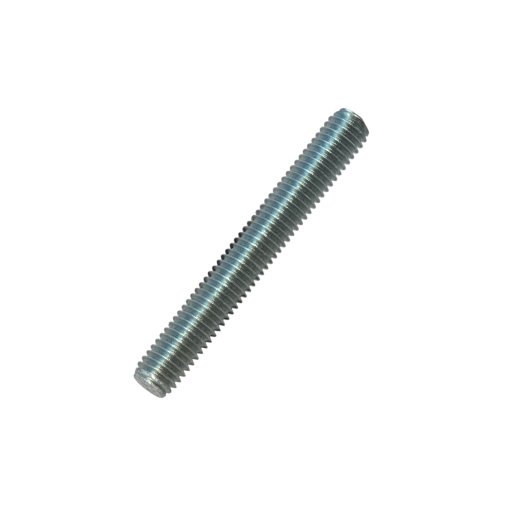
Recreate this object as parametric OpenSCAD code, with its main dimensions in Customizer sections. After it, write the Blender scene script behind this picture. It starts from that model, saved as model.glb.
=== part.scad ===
/* [Rod] */
// Length from end face to end face
rod_length = 60; // [20:0.1:120]
// Length along the rod of the chamfer at each end
chamfer_length = 2.4; // [0.5:0.1:4]
// How far the rim of each end face lies inside the thread's root
face_inset = 0.05; // [0.04:0.01:0.3]

/* [Thread] */
// Nominal diameter of the thread
nominal_d = 8; // [5:0.5:12]
// Distance from one crest to the next, along the rod
pitch = 1.25; // [0.75:0.05:1.5]
// How much smaller than nominal the crests are, so that a nut runs on
crest_allowance = 0.1; // [0:0.01:0.2]
// How much deeper than nominal the whole groove lies, which leaves a narrower crest
groove_allowance = 0.08; // [0:0.01:0.1]
// Angle between the two flanks of a groove
flank_angle = 60; // [55:1:65]
// Angle about the rod at which the crest leaves the lower end
start_angle = 312; // [0:1:359]

/* [Slanted corner of the lower end] */
// Angle about the rod of the side on which the lower end is cut off at a slant
slant_side = 205; // [0:1:359]
// Distance from the rod's axis at which the slant leaves the end face
slant_start = 1.85; // [1.2:0.05:3]
// Rise of the slant above the plane of the end face
slant_angle = 23; // [5:1:40]

/* [Mesh] */
// Most triangles that the thread may take
triangle_budget = 11500; // [6000:500:12500]

/* [Hidden] */

// Height of the sharp triangle of the profile, and the shares of it that lie above the root and the pitch line
// of an ISO metric thread, counted from the nominal diameter
sharp_height = pitch / (2 * tan(flank_angle / 2));
root_share = 17 / 24;
pitch_line_share = 3 / 8;

crest_r = (nominal_d - crest_allowance) / 2;
root_r = nominal_d / 2 - root_share * sharp_height - groove_allowance;
pitch_line_r = nominal_d / 2 - pitch_line_share * sharp_height - groove_allowance;
face_r = root_r - face_inset;

// The raw thread runs past the upper end by at least this much before the ends are cut
overrun = 0.3;
// The cutters of the ends reach out past the crests by this much
cut_margin = 1;

// Half the width of the ridge at a radius, measured along the rod: ridge and groove are alike at the pitch line
function ridge_half(r) = pitch / 4 - (r - pitch_line_r) * tan(flank_angle / 2);

// One pitch of the profile as radius and height: crest flat, flank, root flat, flank up to the next crest
profile = [
    [crest_r, -ridge_half(crest_r)],
    [crest_r, ridge_half(crest_r)],
    [root_r, ridge_half(root_r)],
    [root_r, pitch - ridge_half(root_r)],
];
rows = len(profile);

// The raw thread begins below the lower end, by one turn and the part turn that brings the crest to height 0
// at the start angle
turns_below = 1 + start_angle / 360;
turns = ceil((rod_length + overrun + ridge_half(crest_r)) / pitch + turns_below);
// Each step of a turn is two triangles for each row, and a turn has a whole number of steps to a quarter
steps = 4 * max(1, floor(triangle_budget / (4 * 2 * rows * turns)));
columns = steps * turns;

function height_at(turn) = pitch * (turn - turns_below);

function point_at(i, j) = let (angle = 360 * i / steps)
    [profile[j][0] * cos(angle), profile[j][0] * sin(angle), height_at(i / steps) + profile[j][1]];

// Number of the point in column i and row j, where the row past the last is the first row one turn on,
// and the columns past the last have a first row only
function at(i, j) = j == rows ? at(i + steps, 0)
    : i > columns ? rows * (columns + 1) + i - columns - 1
    : rows * i + j;

// The helical skin as one closed solid: each turn shares its edge with the next, and a fan closes each end
module raw_thread() {
    skin_points = [for (i = [0:columns], j = [0:rows - 1]) point_at(i, j)];
    rim_points = [for (i = [columns + 1:columns + steps]) point_at(i, 0)];
    axis_points = [for (turn = [0, turns]) [0, 0, height_at(turn + 1 / 2)]];
    low = len(skin_points) + len(rim_points);
    high = low + 1;

    skin = [for (i = [0:columns - 1], j = [0:rows - 1], upper = [true, false]) upper
        ? [at(i, j), at(i, j + 1), at(i + 1, j + 1)]
        : [at(i, j), at(i + 1, j + 1), at(i + 1, j)]];
    low_fan = [for (i = [0:steps - 1]) [low, at(i, 0), at(i + 1, 0)]];
    low_step = [for (j = [0:rows - 1]) [low, at(0, j + 1), at(0, j)]];
    high_fan = [for (i = [columns:columns + steps - 1]) [high, at(i + 1, 0), at(i, 0)]];
    high_step = [for (j = [0:rows - 1]) [high, at(columns, j), at(columns, j + 1)]];

    polyhedron(
        points = concat(skin_points, rim_points, axis_points),
        faces = concat(skin, low_fan, low_step, high_fan, high_step)
    );
}

// What is turned off the lower end: all that lies below the face, and the ring around it that leaves the chamfer
module end_cutter() {
    chamfer_slope = (crest_r - face_r) / chamfer_length;
    outer_r = crest_r + cut_margin;
    bottom = height_at(-1);
    rotate_extrude($fn = 96)
        polygon([
            [0, 0],
            [face_r, 0],
            [outer_r, (outer_r - face_r) / chamfer_slope],
            [outer_r, bottom],
            [0, bottom],
        ]);
}

// What the slant takes off one side of the lower end: a block whose upper face is the slanting plane
module slant_cutter() {
    reach = nominal_d / cos(slant_angle);
    rotate([0, 0, slant_side]) translate([slant_start, 0, 0]) rotate([0, -slant_angle, 0])
        translate([0, -nominal_d, -nominal_d]) cube([reach, 2 * nominal_d, nominal_d]);
}

module threaded_rod() {
    color([0.62, 0.66, 0.67])
        difference() {
            raw_thread();
            end_cutter();
            slant_cutter();
            translate([0, 0, rod_length]) mirror([0, 0, 1]) end_cutter();
        }
}

threaded_rod();
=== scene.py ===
import math
from types import SimpleNamespace

import bmesh
import bpy
import numpy as np
from mathutils import Matrix, Vector


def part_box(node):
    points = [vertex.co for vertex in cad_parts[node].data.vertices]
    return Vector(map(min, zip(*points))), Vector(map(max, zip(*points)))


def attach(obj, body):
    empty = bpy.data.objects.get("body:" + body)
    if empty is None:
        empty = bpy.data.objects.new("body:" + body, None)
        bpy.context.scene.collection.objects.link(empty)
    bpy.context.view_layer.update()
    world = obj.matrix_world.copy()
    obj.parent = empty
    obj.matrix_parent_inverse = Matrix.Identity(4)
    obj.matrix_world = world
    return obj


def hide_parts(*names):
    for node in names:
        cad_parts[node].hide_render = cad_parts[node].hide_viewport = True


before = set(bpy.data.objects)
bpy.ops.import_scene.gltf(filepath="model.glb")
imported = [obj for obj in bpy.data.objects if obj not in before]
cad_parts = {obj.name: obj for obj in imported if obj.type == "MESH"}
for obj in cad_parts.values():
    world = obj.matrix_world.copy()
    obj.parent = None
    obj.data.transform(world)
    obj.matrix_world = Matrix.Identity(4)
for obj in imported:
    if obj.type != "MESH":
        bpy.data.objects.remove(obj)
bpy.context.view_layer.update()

MM = 0.001
NODE = "threaded_rod"

# The rod: its length and crests come from the frame, and the rest is what the solid's thread and ends have
low_corner, high_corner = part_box(NODE)
ROD_LENGTH = high_corner.z - low_corner.z
CREST_R = (high_corner.x - low_corner.x) / 2
ROOT_R = 3.153 * MM
PITCH_LINE_R = 3.514 * MM
PITCH = 1.25 * MM
FLANK_HALF_ANGLE = math.radians(30)
START_TURN = 312 / 360
FACE_R = 3.103 * MM
CHAMFER_LENGTH = 2.4 * MM
SLANT_SIDE = math.radians(205)
SLANT_START = 1.85 * MM
SLANT_ANGLE = math.radians(23)

# The fine mesh: steps in one turn, points on each rounded corner of the profile, and those corners' radii
STEPS = 80
CORNER_POINTS = 5
CREST_ROUND = 0.07 * MM
ROOT_ROUND = 0.14 * MM
RIM_ROUND = 0.3 * MM
# Edges that turn by more than this look sharp, and a point closer than this to a cut lies on it
SHARP_EDGE = math.radians(35)
SAME_POINT = 1e-9

# How unevenly the thread was rolled: the most that a crest is blunt or leans, the waves in which that comes
# and goes along the helix, and the nicks, whose lengths are in turns
BLUNT = 0.13 * MM
BLUNT_RATES = (0.37, 0.62, 1.31, 2.73)
BLUNT_PHASES = (0.1, 0.55, 0.8, 0.3)
LEAN = 0.035 * MM
LEAN_RATES = (0.43, 0.71, 1.53)
LEAN_PHASES = (0.7, 0.2, 0.4)
NICKS = 26
NICK_DEPTH = (0.05 * MM, 0.14 * MM)
NICK_HALF_LENGTH = (0.015, 0.05)
SEED = 8

# The plating's colours: blue toward the lower end and straw toward the upper one, painted shade in the root,
# the dull outer half of the upper flank with painted shade on it, the rubbed crest, and the darkest and
# lightest tones of the mottled ends
BLUE_ZINC = (0.74, 0.87, 0.91, 1)
STRAW_ZINC = (0.90, 0.88, 0.80, 1)
PAINTED_ROOT_SHADE = (0.20, 0.21, 0.19, 1)
PAINTED_FLANK_SHADE = (0.30, 0.32, 0.32, 1)
RUBBED_CREST = (0.88, 0.88, 0.84, 1)
CUT_DARK = (0.38, 0.40, 0.40, 1)
CUT_LIGHT = (1.0, 1.0, 0.97, 1)
LEAST_STRAW = 0.5
ROOT_SHADE_SHARE = 0.65
FLANK_SHADE_SHARE = 0.75
RUBBED_SHARE = 0.8
# Where they lie: the root's painted shade up to this share of the way from root to crest, rubbing from that
# share on, the dull and shaded half between these places in the profile, and the cut ends down to these depths
ROOT_SHADE_REACH = 0.4
RUBBED_FROM = 0.85
DULL_SHADED_START = (0.16, 0.20)
DULL_SHADED_END = (0.25, 0.28)
CHAMFER_DEPTH = (0.02 * MM, 0.08 * MM)
FACE_DEPTH = (0.005 * MM, 0.02 * MM)
# The plating's grain, as scale, detail and roughness of each noise, and the range of it that is used
PATCHES = (210, 3, 0.5)
PATCHES_RANGE = (0.35, 0.65)
SPECKLE = (2600, 3, 0.6)
SPECKLE_RANGE = (0.3, 0.7)
ROOT_SHADE_RANGE = (0.3, 0.6)
LUMPS = (1300, 4, 0.7)
LUMPS_RANGE = (0.42, 0.58)
STREAKS = (1, 3, 0.6)
STREAKS_STRETCH = (3, 22, 1)
# Its roughness: the lower and the upper end's, and what is added to it
END_ROUGHNESS = (0.05, 0.14)
SPECKLE_ROUGHNESS = 0.06
ROOT_ROUGHNESS = 0.06
ROOT_REACH = 0.5
CUT_ROUGHNESS = 0.22
DULL_ROUGHNESS = 0.14
# Its relief: strength and depth of the streaks, the speckle, by end, and the lumps of the cut ends
STREAKS_STRENGTH = 0.18
STREAKS_DEPTH = 0.02 * MM
SPECKLE_STRENGTH = (0.05, 0.16)
SPECKLE_DEPTH = 0.03 * MM
LUMPS_STRENGTH = 0.8
LUMPS_DEPTH = 0.12 * MM

# The photograph: where the rod lies in it, and how the camera saw it
PHOTO_SIZE = 505
ROD_MIDDLE_PX = (252.955, 251.64)
UP_END_DIRECTION_PX = (-0.61335, 0.78981)
PIXELS_PER_METRE = 5807
CAMERA_DISTANCE = 0.60
CAMERA_ELEVATION = math.radians(13.3)
CAMERA_CLIP = (0.05, 20)
SENSOR = 36

# What stands round the rod, as seen in the metal: the tone at each azimuth in degrees, where 0 is the camera's
# side and 90 the side of +X. One tall bright window, bluish on its far flank, and dim walls elsewhere
ROUND_ABOUT = (
    (-180, (0.42, 0.42, 0.42)),
    (-166, (0.17, 0.18, 0.17)),
    (-150, (0.18, 0.19, 0.18)),
    (-125, (0.22, 0.23, 0.22)),
    (-105, (0.13, 0.15, 0.13)),
    (-60, (0.08, 0.09, 0.08)),
    (-30, (0.055, 0.065, 0.055)),
    (-18, (0.065, 0.08, 0.065)),
    (-7, (0.12, 0.14, 0.115)),
    (3, (0.30, 0.35, 0.29)),
    (11, (0.68, 0.77, 0.66)),
    (19, (1.15, 1.40, 1.26)),
    (29, (0.77, 1.26, 1.33)),
    (37, (0.36, 0.70, 0.84)),
    (47, (0.18, 0.38, 0.51)),
    (58, (0.15, 0.29, 0.38)),
    (70, (0.15, 0.28, 0.36)),
    (85, (0.17, 0.30, 0.36)),
    (100, (0.22, 0.33, 0.37)),
    (125, (0.32, 0.41, 0.42)),
    (150, (0.24, 0.29, 0.30)),
    (166, (0.22, 0.25, 0.26)),
    (180, (0.42, 0.42, 0.42)),
)
# The ceiling over it, and the rise at which it starts and is full
CEILING = (0.48, 0.49, 0.49, 1)
CEILING_EDGES = (0.2, 0.6)

# The floor: its radius, the cove and the rim at its edge, its white to the eye, and its colour under the lamp
FLOOR_R = 1.2
COVE_R = 0.2
COVE_POINTS = 7
RIM_HEIGHT = 0.26
FLOOR_SIDES = 96
FLOOR_WHITE = 0.98
FLOOR_COLOUR = 0.09
# The floor in the metal: its share of the tone round about, how far that tone is turned near the rod and far
# from it, and the distances between which the turn changes
FLOOR_SHARE = 0.95
NEAR_FLOOR_TURN = math.radians(-15)
FAR_FLOOR_TURN = math.radians(-5)
TURN_CHANGES = (0.025, 0.075)
# Behind the rod it is pale, but for a ring. The pale part's edges are cosines of the angle from straight
# behind, and the ring's are distances
FLOOR_BEHIND = (0.40, 0.40, 0.39, 1)
BEHIND_EDGES = (0.6, 0.9)
RING_INNER = (0.05, 0.09)
RING_OUTER = (0.17, 0.24)

# The dim card close behind the rod: how far from its upright middle line its tone starts and is full, and is
# full last and ends, and how far from its level middle line it is full last and ends
CARD_OPEN = (4 * MM, 6.5 * MM)
CARD_SIDES = (12 * MM, 16 * MM)
CARD_ENDS = (6 * MM, 15.5 * MM)
CARD_PLACE = (0, 15 * MM, 41.5 * MM)
CARD_LEAN = math.radians(25)
CARD_TONE = (0.02, 0.023, 0.02, 1)

# The lamp: a square softbox, above the rod on the camera's side
LAMP_AZIMUTH = math.radians(11)
LAMP_ELEVATION = math.radians(42)
LAMP_DISTANCE = 0.7
LAMP_SIDE = 0.32
LAMP_RADIANCE = 4.2
LAMP_COLOUR = (1.0, 0.97, 0.86)

MIDDLE = Vector((0, 0, ROD_LENGTH / 2))
END_SLOPE = (CREST_R - FACE_R) / CHAMFER_LENGTH
# Where the face's flat ends and its rounded rim starts, and how far up the rim reaches
RIM_START_R = FACE_R - RIM_ROUND * math.tan((math.pi / 2 - math.atan(END_SLOPE)) / 2)
RIM_REACH = RIM_ROUND * (1 - END_SLOPE / math.hypot(1, END_SLOPE))


def corner(z, r, radius, first, last):
    """A rounded corner of the profile as (height, radius) points. At 90 degrees it faces away from the axis."""
    angles = np.radians(np.linspace(first, last, CORNER_POINTS))
    return [(z + radius * math.cos(a), r + radius * math.sin(a)) for a in angles]


def thread_profile():
    """One pitch of the thread as (height, radius) points, from mid-crest to just short of the next."""
    slope = math.tan(FLANK_HALF_ANGLE)
    crest_half = PITCH / 4 - (CREST_R - PITCH_LINE_R) * slope
    root_half = PITCH / 4 - (PITCH_LINE_R - ROOT_R) * slope
    # an arc that turns from a flat into a flank touches the flat this share of its radius away from the edge
    touch = math.tan((math.pi / 2 - FLANK_HALF_ANGLE) / 2)
    flank_tilt = math.degrees(FLANK_HALF_ANGLE)
    crest_z = crest_half - CREST_ROUND * touch
    crest_corner = corner(crest_z, CREST_R - CREST_ROUND, CREST_ROUND, 90, flank_tilt)
    root_z = PITCH / 2 - root_half + ROOT_ROUND * touch
    root_corner = corner(root_z, ROOT_R + ROOT_ROUND, ROOT_ROUND, 180 + flank_tilt, 270)
    mid_flank = np.mean([crest_corner[-1], root_corner[0]], axis=0)
    half = [(0.0, CREST_R)] + crest_corner + [tuple(mid_flank)] + root_corner
    return np.array(half + [(PITCH / 2, ROOT_R)] + [(PITCH - z, r) for z, r in reversed(half[1:])])


def waves(turns, rates, phases):
    """A smooth uneven curve along the helix, between -1 and 1."""
    parts = [np.sin(2 * math.pi * (rate * turns + phase)) for rate, phase in zip(rates, phases)]
    return sum(parts) / len(parts)


def crest_loss(turns):
    """How far the crest falls short of its full radius along the helix: blunt stretches and a few nicks."""
    loss = BLUNT * np.clip(waves(turns, BLUNT_RATES, BLUNT_PHASES), 0, 1)
    chance = np.random.default_rng(SEED)
    for _ in range(NICKS):
        place = chance.uniform(turns.min(), turns.max())
        depth = chance.uniform(*NICK_DEPTH)
        half_length = chance.uniform(*NICK_HALF_LENGTH)
        loss = loss + depth * np.exp(-((turns - place) / half_length) ** 2)
    return loss


def end_limit_r(z):
    """Radius that the ends leave at a height: the chamfer's cone, and the rounded rim of the end face."""
    from_end = np.minimum(z, ROD_LENGTH - z)
    cone_r = FACE_R + END_SLOPE * from_end
    past_centre = np.clip(RIM_ROUND - from_end, 0, RIM_ROUND)
    rim_r = RIM_START_R + np.sqrt(RIM_ROUND ** 2 - past_centre ** 2)
    return np.where(from_end < RIM_REACH, rim_r, cone_r)


def thread_points(profile, columns):
    """Points of the helical skin: a column for each step along the helix, a row for each profile point."""
    turns = (np.arange(columns) / STEPS)[:, None]
    height, radius = profile[None, :, 0], profile[None, :, 1]
    toward_crest = np.clip((radius - PITCH_LINE_R) / (CREST_R - PITCH_LINE_R), 0, 1)
    lean = LEAN * waves(turns, LEAN_RATES, LEAN_PHASES) * toward_crest
    z = PITCH * (turns - 1 - START_TURN) + height + lean
    r = np.minimum(radius, CREST_R - crest_loss(turns))
    r = np.minimum(r, end_limit_r(z))
    angle = 2 * math.pi * turns
    return np.stack([r * np.cos(angle), r * np.sin(angle), z], axis=-1)


def skin_faces(rows, columns):
    """Quads between neighbouring columns, where the row past the last is the first row one turn on."""
    column, row = np.meshgrid(np.arange(columns - 1 - STEPS), np.arange(rows), indexing="ij")
    over = (row + 1 == rows)

    def at(c):
        return (c + STEPS * over) * rows + (row + 1) % rows

    quads = np.stack([column * rows + row, (column + 1) * rows + row, at(column + 1), at(column)], axis=-1)
    # the matching places in the texture: turns along the helix, and place in the profile, counted by its
    # points from 0 at mid-crest to 1 at the next
    along = np.stack([column, column + 1, column + 1, column], axis=-1) / STEPS
    across = np.stack([row, row, row + 1, row + 1], axis=-1) / rows
    return quads.reshape(-1, 4), np.stack([along, across], axis=-1).reshape(-1, 2)


def cut_off(bm, point, normal):
    """Cuts away what lies past a plane, on the side of its normal, and closes the cut with a flat face."""
    everything = bm.verts[:] + bm.edges[:] + bm.faces[:]
    cut = bmesh.ops.bisect_plane(bm, geom=everything, plane_co=point, plane_no=normal,
                                 clear_outer=True, dist=SAME_POINT)
    rim = [piece for piece in cut["geom_cut"] if isinstance(piece, bmesh.types.BMEdge)]
    bmesh.ops.contextual_create(bm, geom=rim)


def cut_ends(mesh):
    """Cuts the skin off at both end faces and at the slant, and clears away what is loose."""
    slant_out = Vector((math.cos(SLANT_SIDE), math.sin(SLANT_SIDE), 0))
    slant_normal = slant_out * math.sin(SLANT_ANGLE) - Vector((0, 0, math.cos(SLANT_ANGLE)))
    bm = bmesh.new()
    bm.from_mesh(mesh)
    cut_off(bm, (0, 0, 0), (0, 0, -1))
    cut_off(bm, (0, 0, ROD_LENGTH), (0, 0, 1))
    cut_off(bm, slant_out * SLANT_START, slant_normal)
    bmesh.ops.delete(bm, geom=[v for v in bm.verts if not v.link_faces], context="VERTS")
    bmesh.ops.recalc_face_normals(bm, faces=bm.faces[:])
    bm.to_mesh(mesh)
    bm.free()


def add_object(name, data):
    made = bpy.data.objects.new(name, data)
    bpy.context.scene.collection.objects.link(made)
    return made


def smooth(mesh):
    mesh.polygons.foreach_set("use_smooth", [True] * len(mesh.polygons))


def make_rod():
    """The rod as one mesh: a helical skin with rounded corners, cut flat at its ends."""
    profile = thread_profile()
    # one turn lies below the rod and one past it, and the last one only closes the turn before it
    columns = (math.ceil(ROD_LENGTH / PITCH + START_TURN) + 3) * STEPS + 1
    points = thread_points(profile, columns)
    quads, places = skin_faces(len(profile), columns)

    mesh = bpy.data.meshes.new("rod_thread")
    mesh.from_pydata(points.reshape(-1, 3).tolist(), [], quads.tolist())
    mesh.uv_layers.new(name="helix").data.foreach_set("uv", places.ravel())
    cut_ends(mesh)
    smooth(mesh)
    mesh.set_sharp_from_angle(angle=SHARP_EDGE)
    mesh.materials.append(zinc_material())
    return add_object("rod_thread", mesh)


class NodeTree:
    """Short ways to add and link shader nodes."""

    def __init__(self, owner):
        owner.use_nodes = True
        self.nodes = owner.node_tree.nodes
        self.links = owner.node_tree.links

    def put(self, socket, value):
        if isinstance(value, bpy.types.NodeSocket):
            self.links.new(value, socket)
        else:
            socket.default_value = value

    def add(self, kind, output=0, inputs=None, **settings):
        node = self.nodes.new(kind)
        for name, value in settings.items():
            setattr(node, name, value)
        for name, value in (inputs or {}).items():
            self.put(node.inputs[name], value)
        return node.outputs[output]

    def place(self):
        return self.add("ShaderNodeTexCoord", output="Object")

    def math(self, operation, a, b=0.0):
        return self.add("ShaderNodeMath", inputs={0: a, 1: b}, operation=operation)

    def total(self, parts):
        first, *rest = parts
        for part in rest:
            first = self.math("ADD", first, part)
        return first

    def part(self, vector, axis):
        return self.add("ShaderNodeSeparateXYZ", inputs={0: vector}, output=axis)

    def length(self, vector):
        return self.add("ShaderNodeVectorMath", inputs={0: vector}, operation="LENGTH", output="Value")

    def scale(self, colour, factor):
        return self.add("ShaderNodeVectorMath", inputs={0: colour, "Scale": factor}, operation="SCALE")

    def noise(self, vector, scale, detail, roughness):
        inputs = {"Vector": vector, "Scale": scale, "Detail": detail, "Roughness": roughness}
        return self.add("ShaderNodeTexNoise", inputs=inputs)

    def fade(self, value, low, high, start=0.0, end=1.0):
        """Maps low..high to start..end, without running past either."""
        inputs = {"Value": value, "From Min": low, "From Max": high, "To Min": start, "To Max": end}
        return self.add("ShaderNodeMapRange", inputs=inputs, clamp=True)

    def mix(self, share, a, b):
        node = self.nodes.new("ShaderNodeMix")
        node.data_type = "RGBA"
        # the node's inputs for colours are its seventh and eighth, and its output for them is the third
        for socket, value in ((node.inputs["Factor"], share), (node.inputs[6], a), (node.inputs[7], b)):
            self.put(socket, value)
        return node.outputs[2]

    def bump(self, height, strength, distance, normal=None):
        inputs = {"Height": height, "Strength": strength, "Distance": distance}
        if normal:
            inputs["Normal"] = normal
        return self.add("ShaderNodeBump", inputs=inputs)

    def surface(self, shader):
        self.put(self.nodes["Material Output"].inputs["Surface"], shader)


def rod_zones(tree):
    """Where on the rod a point lies, as shares from 0 to 1."""
    place = tree.place()
    height = tree.part(place, "Z")
    across = tree.add("ShaderNodeVectorMath", inputs={0: place, 1: (1, 1, 0)}, operation="MULTIPLY")
    radius = tree.length(across)
    from_end = tree.math("MINIMUM", height, tree.math("SUBTRACT", ROD_LENGTH, height))
    cone_r = tree.math("ADD", tree.math("MULTIPLY", from_end, END_SLOPE), FACE_R)
    on_chamfer = tree.fade(tree.math("SUBTRACT", cone_r, radius), *CHAMFER_DEPTH, 1.0, 0.0)
    on_face = tree.fade(from_end, *FACE_DEPTH, 1.0, 0.0)
    in_profile = tree.part(tree.add("ShaderNodeUVMap", uv_map="helix"), "Y")
    dull_shaded_so_far = tree.fade(in_profile, *DULL_SHADED_START)
    dull_shaded_still = tree.fade(in_profile, *DULL_SHADED_END, 1.0, 0.0)
    return SimpleNamespace(
        up_the_rod=tree.fade(height, 0.0, ROD_LENGTH),
        toward_crest=tree.fade(radius, ROOT_R, CREST_R),
        on_cut=tree.math("MAXIMUM", on_chamfer, on_face),
        on_dull_shaded_half=tree.math("MULTIPLY", dull_shaded_so_far, dull_shaded_still),
    )


def zinc_grain(tree):
    """The noises that the plating's colour, roughness and relief share."""
    place = tree.place()
    helix = tree.add("ShaderNodeUVMap", uv_map="helix")
    stretched = tree.add("ShaderNodeMapping", inputs={"Vector": helix, "Scale": STREAKS_STRETCH})
    return SimpleNamespace(
        patches=tree.noise(place, *PATCHES),
        speckle=tree.noise(place, *SPECKLE),
        lumps=tree.noise(place, *LUMPS),
        streaks=tree.noise(stretched, *STREAKS),
    )


def zinc_colour(tree, zones, grain):
    straw = tree.fade(grain.patches, *PATCHES_RANGE, LEAST_STRAW, 1.0)
    colour = tree.mix(tree.math("MULTIPLY", straw, zones.up_the_rod), BLUE_ZINC, STRAW_ZINC)
    # painted shade: the root is darkened, fading out part way up the flanks and mottled by the speckle
    in_root = tree.fade(zones.toward_crest, 0.0, ROOT_SHADE_REACH, ROOT_SHADE_SHARE, 0.0)
    root_shade = tree.math("MULTIPLY", in_root, tree.fade(grain.speckle, *ROOT_SHADE_RANGE))
    colour = tree.mix(root_shade, colour, PAINTED_ROOT_SHADE)
    # painted shade: a dark band on the outer half of the upper flank, beside the crest, where that half is also
    # rougher
    colour = tree.mix(tree.math("MULTIPLY", zones.on_dull_shaded_half, FLANK_SHADE_SHARE), colour, PAINTED_FLANK_SHADE)
    rubbed = tree.fade(zones.toward_crest, RUBBED_FROM, 1.0, 0.0, RUBBED_SHARE)
    colour = tree.mix(rubbed, colour, RUBBED_CREST)
    cut_colour = tree.mix(tree.fade(grain.lumps, *LUMPS_RANGE), CUT_DARK, CUT_LIGHT)
    return tree.mix(zones.on_cut, colour, cut_colour)


def zinc_roughness(tree, zones, grain):
    return tree.total([
        tree.fade(zones.up_the_rod, 0.0, 1.0, *END_ROUGHNESS),
        tree.fade(grain.speckle, *SPECKLE_RANGE, 0.0, SPECKLE_ROUGHNESS),
        tree.fade(zones.toward_crest, 0.0, ROOT_REACH, ROOT_ROUGHNESS, 0.0),
        tree.math("MULTIPLY", zones.on_cut, CUT_ROUGHNESS),
        tree.math("MULTIPLY", zones.on_dull_shaded_half, DULL_ROUGHNESS),
    ])


def zinc_relief(tree, zones, grain):
    speckle_strength = tree.fade(zones.up_the_rod, 0.0, 1.0, *SPECKLE_STRENGTH)
    lumps_strength = tree.math("MULTIPLY", zones.on_cut, LUMPS_STRENGTH)
    relief = tree.bump(grain.streaks, STREAKS_STRENGTH, STREAKS_DEPTH)
    relief = tree.bump(grain.speckle, speckle_strength, SPECKLE_DEPTH, relief)
    return tree.bump(grain.lumps, lumps_strength, LUMPS_DEPTH, relief)


def zinc_material():
    """Bright zinc plating with rolling streaks along the thread, over duller ends that were cut before it."""
    material = bpy.data.materials.new("zinc_plating")
    tree = NodeTree(material)
    zones = rod_zones(tree)
    grain = zinc_grain(tree)
    shader = tree.nodes["Principled BSDF"]
    shader.inputs["Metallic"].default_value = 1.0
    tree.put(shader.inputs["Base Color"], zinc_colour(tree, zones, grain))
    tree.put(shader.inputs["Roughness"], zinc_roughness(tree, zones, grain))
    tree.put(shader.inputs["Normal"], zinc_relief(tree, zones, grain))
    return material


def white_to_view(tree):
    """1 for rays that see a surface directly or in metal or glass, and 0 for those that only carry light."""
    path = tree.nodes.new("ShaderNodeLightPath")
    seen = tree.math("MAXIMUM", path.outputs["Is Camera Ray"], path.outputs["Is Glossy Ray"])
    return tree.math("MAXIMUM", seen, path.outputs["Is Transmission Ray"])


def tone_round_about(tree, place):
    """The tone at a place or direction, by its azimuth about the rod."""
    toward_camera = tree.math("MULTIPLY", tree.part(place, "Y"), -1.0)
    azimuth = tree.math("ARCTAN2", tree.part(place, "X"), toward_camera)
    # a ramp's colours end at 1, so it holds them as shares of the brightest
    brightest = max(max(colour) for _, colour in ROUND_ABOUT)
    ramp = tree.nodes.new("ShaderNodeValToRGB")
    stops = ramp.color_ramp.elements
    for _ in ROUND_ABOUT[2:]:
        stops.new(0.5)
    for stop, (degrees, colour) in zip(stops, ROUND_ABOUT):
        stop.position = degrees / 360 + 0.5
        stop.color = (*(part / brightest for part in colour), 1)
    tree.put(ramp.inputs["Fac"], tree.fade(azimuth, -math.pi, math.pi))
    return tree.scale(ramp.outputs["Color"], brightest)


def floor_in_metal(tree):
    """The floor's tone in metal: that of what stands round the rod, and paler behind the rod."""
    place = tree.place()
    distance = tree.length(place)
    turn = tree.fade(distance, *TURN_CHANGES, NEAR_FLOOR_TURN, FAR_FLOOR_TURN)
    place_and_turn = {"Vector": place, "Angle": turn}
    turned = tree.add("ShaderNodeVectorRotate", inputs=place_and_turn, rotation_type="Z_AXIS")
    tone = tree.scale(tone_round_about(tree, turned), FLOOR_SHARE)
    behind = tree.fade(tree.math("DIVIDE", tree.part(place, "Y"), distance), *BEHIND_EDGES)
    inside_ring = tree.fade(distance, *RING_INNER, 1.0, 0.0)
    off_ring = tree.math("ADD", inside_ring, tree.fade(distance, *RING_OUTER))
    return tree.mix(tree.math("MULTIPLY", behind, off_ring), tone, FLOOR_BEHIND)


def floor_material():
    """White to the eye and in glass, and in metal the tone of what stands round the rod."""
    material = bpy.data.materials.new("white_floor")
    tree = NodeTree(material)
    under_lamp = (FLOOR_COLOUR, FLOOR_COLOUR, FLOOR_COLOUR, 1)
    diffuse = tree.add("ShaderNodeBsdfDiffuse", inputs={"Color": under_lamp})
    in_metal = tree.add("ShaderNodeLightPath", output="Is Glossy Ray")
    white = (FLOOR_WHITE, FLOOR_WHITE, FLOOR_WHITE, 1)
    colour = tree.mix(in_metal, white, floor_in_metal(tree))
    glow = tree.add("ShaderNodeEmission", inputs={"Color": colour, "Strength": white_to_view(tree)})
    tree.surface(tree.add("ShaderNodeAddShader", inputs={0: diffuse, 1: glow}))
    return material


def make_floor():
    """A round white floor that curves up into a low rim, so that level views have it behind the rod too."""
    bends = np.radians(np.linspace(0, 90, COVE_POINTS))
    cove = [(FLOOR_R + COVE_R * math.sin(a), COVE_R * (1 - math.cos(a))) for a in bends]
    bm = bmesh.new()
    rings = []
    for r, z in [(0.0, 0.0)] + cove + [(FLOOR_R + COVE_R, RIM_HEIGHT)]:
        angles = [2 * math.pi * i / FLOOR_SIDES for i in range(FLOOR_SIDES)] if r else [0.0]
        rings.append([bm.verts.new((r * math.cos(a), r * math.sin(a), z)) for a in angles])
    for inner, outer in zip(rings, rings[1:]):
        for i in range(FLOOR_SIDES):
            far = [outer[i], outer[(i + 1) % FLOOR_SIDES]]
            near = [inner[0]] if len(inner) == 1 else [inner[(i + 1) % FLOOR_SIDES], inner[i]]
            bm.faces.new(far + near)
    mesh = bpy.data.meshes.new("floor")
    bm.to_mesh(mesh)
    bm.free()
    smooth(mesh)
    mesh.materials.append(floor_material())
    floor = add_object("floor", mesh)


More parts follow.
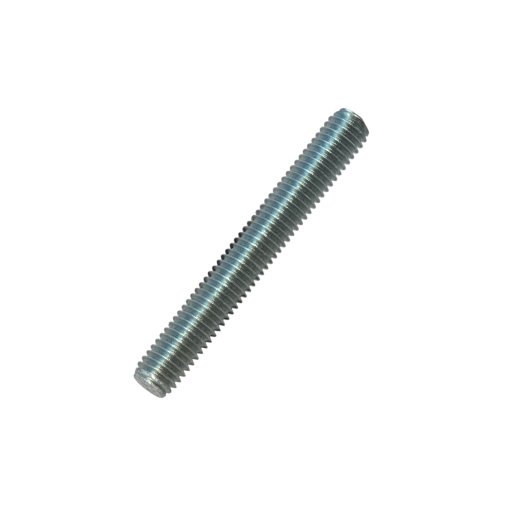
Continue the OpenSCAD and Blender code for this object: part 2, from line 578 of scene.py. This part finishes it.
def card_material():
    """Dim, open down the middle, and fading out to nothing at its edges."""
    material = bpy.data.materials.new("dim_card")
    tree = NodeTree(material)
    place = tree.place()
    aside = tree.math("ABSOLUTE", tree.part(place, "X"))
    along = tree.math("ABSOLUTE", tree.part(place, "Z"))
    cover = tree.math("MULTIPLY", tree.fade(aside, *CARD_OPEN), tree.fade(aside, *CARD_SIDES, 1.0, 0.0))
    cover = tree.math("MULTIPLY", cover, tree.fade(along, *CARD_ENDS, 1.0, 0.0))
    clear = tree.add("ShaderNodeBsdfTransparent")
    dim = tree.add("ShaderNodeEmission", inputs={"Color": CARD_TONE})
    tree.surface(tree.add("ShaderNodeMixShader", inputs={0: cover, 1: clear, 2: dim}))
    return material


def make_card():
    """A dim card that shows in the metal alone, and darkens the edges of the thread at mid-length."""
    half_width, half_height = CARD_SIDES[1], CARD_ENDS[1]
    corners = [(-half_width, 0, -half_height), (half_width, 0, -half_height),
               (half_width, 0, half_height), (-half_width, 0, half_height)]
    mesh = bpy.data.meshes.new("flag")
    mesh.from_pydata(corners, [], [(0, 1, 2, 3)])
    mesh.materials.append(card_material())
    flag = add_object("flag", mesh)
    flag.location = CARD_PLACE
    flag.rotation_euler = (0, CARD_LEAN, 0)
    flag.visible_camera = False
    flag.visible_diffuse = False
    flag.visible_shadow = False


def direction(azimuth, elevation):
    """Unit vector from the rod: azimuth 0 is the camera's side, and a right angle is the side of +X."""
    level = math.cos(elevation)
    return Vector((math.sin(azimuth) * level, -math.cos(azimuth) * level, math.sin(elevation)))


def make_lamp():
    data = bpy.data.lights.new("key", "AREA")
    data.shape = "RECTANGLE"
    data.size = LAMP_SIDE
    data.size_y = LAMP_SIDE
    data.energy = LAMP_RADIANCE * math.pi * LAMP_SIDE ** 2
    data.color = LAMP_COLOUR
    lamp = add_object("key", data)
    lamp.location = MIDDLE + direction(LAMP_AZIMUTH, LAMP_ELEVATION) * LAMP_DISTANCE
    lamp.rotation_mode = "QUATERNION"
    lamp.rotation_quaternion = (MIDDLE - lamp.location).to_track_quat("-Z", "Y")


def make_world():
    """The studio round the rod, with an even pale ceiling."""
    world = bpy.data.worlds.new("studio")
    bpy.context.scene.world = world
    tree = NodeTree(world)
    way = tree.add("ShaderNodeTexCoord", output="Generated")
    colour = tree.mix(tree.fade(tree.part(way, "Z"), *CEILING_EDGES), tone_round_about(tree, way), CEILING)
    tree.put(tree.nodes["Background"].inputs["Color"], colour)


def make_camera():
    """The photograph's camera, turned about its axis until the rod's upper end points as it does there."""
    data = bpy.data.cameras.new("camera")
    data.sensor_width = SENSOR
    data.lens = PIXELS_PER_METRE * CAMERA_DISTANCE / PHOTO_SIZE * SENSOR
    data.clip_start, data.clip_end = CAMERA_CLIP
    camera = add_object("camera", data)

    back = direction(0, CAMERA_ELEVATION)
    level = Vector((1, 0, 0))
    upright = back.cross(level)
    roll = math.atan2(-UP_END_DIRECTION_PX[0], -UP_END_DIRECTION_PX[1])
    right = level * math.cos(roll) - upright * math.sin(roll)
    up = level * math.sin(roll) + upright * math.cos(roll)
    off_right, off_down = ((middle - PHOTO_SIZE / 2) / PIXELS_PER_METRE for middle in ROD_MIDDLE_PX)
    place = MIDDLE + back * CAMERA_DISTANCE - right * off_right + up * off_down
    camera.matrix_world = Matrix.Translation(place) @ Matrix((right, up, back)).transposed().to_4x4()
    bpy.context.scene.camera = camera


rod = make_rod()
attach(rod, "root")
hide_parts(NODE)

make_floor()
make_card()
make_lamp()
make_world()
make_camera()
bpy.context.scene.view_settings.view_transform = "Standard"
